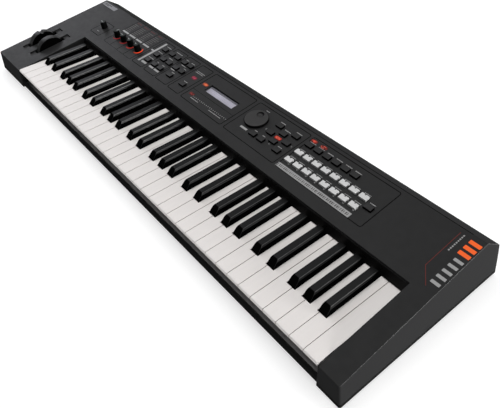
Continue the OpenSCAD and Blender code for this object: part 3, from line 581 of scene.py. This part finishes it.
def stroke(bm, points, wide):
    """A line of equal width through points on the panel, with mitred corners."""
    left, right = [], []
    for i, (x, y) in enumerate(points):
        before = points[max(i - 1, 0)]
        after = points[min(i + 1, len(points) - 1)]
        ways = []
        for a, b in ((before, (x, y)), ((x, y), after)):
            step = Vector((b[0] - a[0], b[1] - a[1]))
            if step.length:
                ways.append(step.normalized())
        way = sum(ways, Vector((0, 0))).normalized()
        reach = wide / 2 / max(way.dot(ways[0]), 0.3)
        left.append((x - way.y * reach, y + way.x * reach))
        right.append((x + way.y * reach, y - way.x * reach))
    loop = left + right[::-1]
    rings = []
    for high in (INK_LOW, INK_HIGH):
        rings.append([bm.verts.new(panel_matrix(x, y) @ Vector((0, 0, high * MM))) for x, y in loop])
    n = len(loop)
    for i in range(n):
        bm.faces.new((rings[0][i], rings[0][(i + 1) % n], rings[1][(i + 1) % n], rings[1][i]))
    for i in range(n // 2 - 1):
        for ring in rings:
            bm.faces.new((ring[i], ring[i + 1], ring[n - 2 - i], ring[n - 1 - i]))


def dashes(bm, x0, x1, y, high=1.5, least=0.9, most=2.6, gap=0.5):
    """A row of short marks that stands for a line of small print."""
    x = x0
    while x < x1 - 0.4:
        w = min(MARKS.uniform(least, most), x1 - x)
        h = high * MARKS.uniform(0.7, 1.0)
        bar(bm, x, x + w, y - h / 2, y + h / 2)
        x += w + gap


# The lines around the panel's sections, and those between the knobs
bm = bmesh.new()
SECTIONS = [(261.5, 298.5), (305, 343), (346.5, 383.5), (388.5, 423.5), (430.5, 547.5),
            (554.5, 678.5), (683.5, 853.5)]
for x0, x1 in SECTIONS:
    outline(bm, x0, x1, 176, 261)
outline(bm, 88.5, 124.5, 176, 219)
bar(bm, 431, 547, 205.7, 206.3)
for x in (149.5, 175, 202.5, 228.5, 255):
    bar(bm, x - 0.5, x + 0.5, 176.5, 267)
bar(bm, 149.2, 255.3, 175.9, 176.5)
bar(bm, 110, 960, 266.4, 267.3)
piece("panel_outlines", bm, line_black)

# Grey bars: over the knobs, beside the song buttons, under labels, and along the long rows
bm = bmesh.new()
for x0, x1 in ((151, 173.2), (177.5, 199.5), (203.8, 225.3), (230.3, 252)):
    bar(bm, x0, x1, 222.3, 226.3)
bar(bm, 269.5, 275, 186, 256)
bar(bm, 261.5, 269.5, 223, 226.5)
for x0, x1, y0, y1 in ((279.5, 295.5, 187.5, 192.5), (306, 320, 188.5, 192.5), (323.5, 339, 188.5, 192.5),
                       (348, 360, 212.5, 214.5), (575.5, 591.2, 196.8, 200.8)):
    bar(bm, x0, x1, y0, y1)
bar(bm, 683.3, 829.9, 177.4, 186.4)
piece("panel_bars", bm, bar_grey)

# Labels, as rows of marks from x0 to x1 at y
bm = bmesh.new()
LABELS = [
    (102, 110, 187), (281.5, 296.5, 251), (280.5, 294.5, 230), (279.5, 296.5, 207.5),
    (313.5, 332.5, 252.5), (316.5, 329.5, 231), (309.5, 314.5, 208), (326.5, 334.5, 208),
    (349.5, 357.5, 250), (366.5, 376.5, 250), (354.5, 368.5, 234), (369.5, 376.5, 229), (359.5, 367.5, 208),
    (394.5, 418.2, 242.5), (394.5, 416, 239), (400.5, 410.5, 207.5), (449.5, 472.5, 187), (502.5, 534.5, 187),
    (579.5, 587.5, 252.6), (618.5, 630.5, 249.5), (655.5, 667.5, 249.5), (601.5, 607.5, 207.7),
    (620.5, 626.5, 207.7), (656.5, 665.5, 207.7), (834, 843.5, 218), (637, 651, 241),
]
for x0, x1, y in LABELS:
    dashes(bm, x0, x1, y)
for i in range(6):
    dashes(bm, 686.5 + BANK_PITCH * i, 698.5 + BANK_PITCH * i, 249.3, 1.6)
for i in range(8):
    dashes(bm, 687 + BANK_PITCH * i, 698.5 + BANK_PITCH * i, 227.3, 1.3)
    dashes(bm, 687 + BANK_PITCH * i, 698.5 + BANK_PITCH * i, 206.8, 1.3)
    bar(bm, 696 + BANK_PITCH * i, 698.4 + BANK_PITCH * i, 191.6, 192.8)
# A scale of short ticks under the display
for i in range(20):
    bar(bm, 450 + 4.9 * i, 451 + 4.9 * i, 191, 193)
# Arrowheads around the cursor buttons, pointing away from them
for x, y, dx, dy in ((612.8, 222, 1, 0), (673.5, 221, -1, 0), (642.8, 241, 0, -1), (642.5, 202, 0, 1)):
    stroke(bm, [(x + 1.3 * (dx - dy), y + 1.3 * (dy - dx)), (x - dx, y - dy),
                (x + 1.3 * (dx + dy), y + 1.3 * (dy + dx))], 0.5)
piece("panel_labels", bm, mark_grey)

# Small print: four lists over the knobs, and the names in the grey bar
bm = bmesh.new()
for column in range(4):
    x0 = 151.5 + 26.4 * column
    for row in range(6):
        dashes(bm, x0, x0 + MARKS.uniform(13, 20), 230.5 + 4.7 * row, 2.1, gap=0.35)
for i in range(44):
    x = 685.5 + 3.25 * i
    bar(bm, x, x + MARKS.uniform(0.8, 2.2), 179.6, 184.2, high=0.1)
piece("panel_small_print", bm, label_grey)

# Red print: the lists' headings, and the bent line on the right end block
bm = bmesh.new()
for column in range(4):
    x0 = 152 + 26.4 * column
    dashes(bm, x0, x0 + 16, 261, 1.7)
stroke(bm, [(947.2, 258.8), (947.8, 188.8), (966.3, 165.4)], 0.8)
piece("panel_red_print", bm, label_red)

# Plain bars on the right end block, with a row of marks beside them, and stripes on the badge
bm = bmesh.new()
for y in (176, 187, 198, 209, 220):
    bar(bm, 965.5, 978.5, y - 2.4, y + 2.4, r=0.8)
for i in range(9):
    bar(bm, 952.3, 954.1, 225.5 + 3.8 * i, 228 + 3.8 * i)
piece("end_block_bars", bm, mark_grey)
bm = bmesh.new()
for y, x0, x1 in ((259.2, 14, 43), (256, 14, 34)):
    bar(bm, x0, x1, y - 0.6, y + 0.6, high=0.68)
piece("badge_marks", bm, line_black)
bm = bmesh.new()
for y in (233, 244, 255):
    bar(bm, 962.7, 978.9, y - 3.2, y + 3.2, r=0.8)
piece("end_block_orange_bars", bm, mark_orange)


# ---- Knobs ----
def knob(node, turn):
    """A fluted knob with a skirt, and a pale pointer that runs over its top and down its side."""
    x, y = from_case(Vector(JOINTS[node + "_turn"]["pos_m"]))
    at = panel_matrix(x, y, math.radians(turn))
    bm = bmesh.new()
    count, flutes = 120, 20
    # Each ring's radius and height, and how deep the flutes are there
    profile = [(2.9, -2, 0), (6.6, 0.5, 0), (6.9, 0.8, 0), (6.8, 2.2, 0), (6.5, 2.8, 0.2), (6.5, 3.4, 1),
               (6.3, 13.4, 1), (6.1, 14.3, 0.5), (5.6, 14.9, 0), (5.1, 15, 0), (4.8, 14.7, 0)]
    loops = []
    for r, z, depth in profile:
        loop = []
        for i in range(count):
            a = 2 * math.pi * i / count
            here = r - 0.32 * depth * (0.5 + 0.5 * math.cos(flutes * a)) ** 2
            loop.append((here * math.cos(a), here * math.sin(a), z))
        loops.append(loop)
    loft(bm, loops, at)
    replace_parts(piece(node + "_look", bm, knob_rubber, body=node, smooth=35), node)
    bm = bmesh.new()
    side = [(0.6, 14.75), (5.1, 15.05), (5.9, 14.85), (6.5, 14.2), (6.7, 3.2), (5.8, 3.2), (5.3, 14.2),
            (0.6, 14.3)]
    loft(bm, [[(px, w, pz) for px, pz in side] for w in (-0.75, 0.75)], at)
    piece(node + "_pointer", bm, pointer_grey, body=node)


def knob_ring(node, glow, right=60.0, front=60.0):
    """The lit ring around an assignable knob, brightest towards its right and front by those weights."""
    x, y = from_case(Vector(JOINTS[node + "_turn"]["pos_m"]))
    s = Shader(node + "_glow", 0.4, specular=0.05)
    ax, ay, _ = s.axes()
    toward = s.math("ADD", s.math("MULTIPLY", s.math("SUBTRACT", ax, LEFT + x * MM), right),
                    s.math("MULTIPLY", s.math("SUBTRACT", FRONT + y * MM, ay), front))
    fac = s.spread(toward, 0, 1, 0.1, 0.9)
    shine = s.mix(fac, (0.012, 0.010, 0.010), glow)
    s.glowing(shine, 0.5)
    bm = bmesh.new()
    sides = [(9.2, 0.0), (9.2, 0.4), (9.5, 0.68), (10.6, 0.68), (11.0, 0.4), (11.0, 0.0)]
    count = 64
    rings = loft(bm, [circle(r, z, count) for r, z in sides], panel_matrix(x, y), closed=False)
    for i in range(count):
        after = (i + 1) % count
        bm.faces.new((rings[-1][i], rings[-1][after], rings[0][after], rings[0][i]))
    return piece(node + "_ring", bm, s.material, smooth=50)


pointer_grey = moulded("pointer_grey", (0.22, 0.23, 0.23), 0.5, grain=0.3, depth=0.004)
knob("volume_knob", 185)
for node, turn in (("assign_knob_1", 60), ("assign_knob_2", 175), ("assign_knob_3", 170),
                   ("assign_knob_4", 165)):
    knob(node, turn)
rings = [knob_ring("assign_knob_1", (0.26, 0.008, 0.010)),
         knob_ring("assign_knob_2", (0.26, 0.008, 0.008)),
         knob_ring("assign_knob_3", (0.42, 0.018, 0.008)),
         knob_ring("assign_knob_4", (0.95, 0.065, 0.012), 82, 24)]
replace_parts(rings[0], "knob_rings")


# ---- Lamps ----
def lamp(name, x, y, w, d, core, rim, strength, broken=0.0):
    """A lens that glows most in its middle; broken up by that much, as light behind small print is."""
    at = panel_matrix(x, y)
    s = Shader(name, 0.35, specular=0.1)
    ax, ay, _ = s.axes()
    off_x = s.math("MULTIPLY", s.math("SUBTRACT", ax, at.translation.x), 2 / (w * MM))
    off_y = s.math("MULTIPLY", s.math("SUBTRACT", ay, at.translation.y), 2 / (d * MM))
    away = s.math("ADD", s.math("MULTIPLY", off_x, off_x), s.math("MULTIPLY", off_y, off_y))
    gaps = s.spread(s.noise(3.2, 2, (1, 0.7, 1)), broken, 0, 0.42, 0.56)
    shine = s.mix(s.spread(away, 1, 0, 0.0, 1.1), rim, s.mix(gaps, core, tinted(rim, 0.5)))
    s.glowing(shine, strength)
    bm = bmesh.new()
    plate(bm, w, d, 1.2, -1.6, 0.3, at, 0.2)
    return piece(name, bm, s.material, smooth=40)


# Each lamp's place and size, the colors of its middle and rim, its glow, and how broken up that is
lamps = [
    lamp("lamp_1", 408.5, 225, 13, 8, (0.36, 0.035, 0.07), (0.05, 0.008, 0.014), 0.35, 0.9),
    lamp("lamp_2", 441.5, 227, 13, 7, (0.62, 0.13, 0.05), (0.12, 0.018, 0.012), 0.3, 0.45),
    lamp("lamp_3", 443, 194.5, 13, 7, (0.27, 0.03, 0.025), (0.03, 0.006, 0.006), 0.3, 0.95),
    lamp("lamp_4", 643.2, 220.2, 13, 6.4, (0.62, 0.10, 0.06), (0.2, 0.012, 0.010), 0.3, 0.5),
    lamp("lamp_5", 690.8, 253, 13, 7, (0.50, 0.05, 0.03), (0.03, 0.006, 0.006), 0.3, 0.9),
    lamp("lamp_6", 711.2, 253, 13, 7, (0.65, 0.09, 0.06), (0.03, 0.006, 0.006), 0.3, 0.9),
]
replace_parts(lamps[0], "panel_lamps")


# ---- Buttons ----
BUTTONS = ["song_buttons", "part_buttons", "function_buttons", "cursor_buttons_vertical",
           "cursor_buttons_horizontal", "command_buttons", "mode_buttons"]
for node in BUTTONS:
    soften(node, 0.45, 3)
for node in ("category_buttons_rear", "category_buttons_front"):
    soften(node, 0.45, 3)
    bm = bmesh.new()
    for low, high in islands(node):
        x, y = from_case((low + high) / 2)
        at = panel_matrix(x, y + 3.0)
        plate(bm, 2.4, 2.0, 0.4, 3.0, 3.36, at)
    piece(node + "_lenses", bm, lens_dark, body=node)


# ---- Floor, light and camera ----
def stage_floor():
    """A pale paper floor, lit a little from within so that it stays plain."""
    bm = bmesh.new()
    bmesh.ops.create_grid(bm, x_segments=1, y_segments=1, size=6)
    mesh = bpy.data.meshes.new("floor")
    bm.to_mesh(mesh)
    bm.free()
    s = Shader("floor_paper", 0.7, specular=0.1)
    paper = s.mix(s.spread(s.noise(400, 2), 0, 1), (0.44, 0.44, 0.44), (0.46, 0.46, 0.46))
    s.glowing(paper, 1.4)
    mesh.materials.append(s.material)
    made = bpy.data.objects.new("floor", mesh)
    bpy.context.scene.collection.objects.link(made)


def softbox(name, at, aim, size, watts, color=(1, 1, 1)):
    """A square area light at a place, turned towards aim."""
    light = bpy.data.lights.new(name, "AREA")
    light.shape = "SQUARE"
    light.size = size
    light.energy = watts
    light.color = color
    made = bpy.data.objects.new(name, light)
    made.location = at
    made.rotation_mode = "QUATERNION"
    made.rotation_quaternion = (Vector(aim) - Vector(at)).to_track_quat("-Z", "Y")
    bpy.context.scene.collection.objects.link(made)


def studio():
    """Soft overall light, a large key light, a low side light and a cool light from behind."""
    world = bpy.data.worlds.new("studio")
    bpy.context.scene.world = world
    world.use_nodes = True
    world.node_tree.nodes["Background"].inputs["Color"].default_value = (1, 1, 1, 1)
    world.node_tree.nodes["Background"].inputs["Strength"].default_value = 0.2
    softbox("key_light", (-0.15, 0.3, 2.3), (0, 0, 0), 2.2, 48)
    softbox("side_light", (2.1, 0.9, 0.2), (0.5, 0, 0.03), 0.6, 60)
    softbox("back_light", (-2.2, 0.25, 1.15), (-0.4, 0, 0), 1.2, 18, (0.93, 0.94, 1))
    bpy.context.scene.view_settings.view_transform = "Standard"


CAMERA_AT = (0.706182, -0.436771, 0.665447)
LENS_MM = 43.118496
SHIFT = (0.074938, -0.1445)


def photo_camera():
    """The camera, set by its place, two view angles and a roll, all in the model's frame."""
    azimuth, elevation, roll = (math.radians(a) for a in (55.469, 37.448, -4.457))
    back = Vector((math.sin(azimuth) * math.cos(elevation), -math.cos(azimuth) * math.cos(elevation),
                   math.sin(elevation)))
    right = (-back).cross(Vector((0, 0, 1))).normalized()
    up = right.cross(-back)
    c, s = math.cos(roll), math.sin(roll)
    turned_right, turned_up = c * right + s * up, -s * right + c * up
    camera = bpy.data.objects.new("camera", bpy.data.cameras.new("camera"))
    camera.data.sensor_width = 36.0
    camera.data.lens = LENS_MM
    camera.data.shift_x, camera.data.shift_y = SHIFT
    turned = Matrix((turned_right, turned_up, back)).transposed().to_4x4()
    camera.matrix_world = Matrix.Translation(CAMERA_AT) @ turned
    bpy.context.scene.collection.objects.link(camera)
    bpy.context.scene.camera = camera


stage_floor()
studio()
photo_camera()
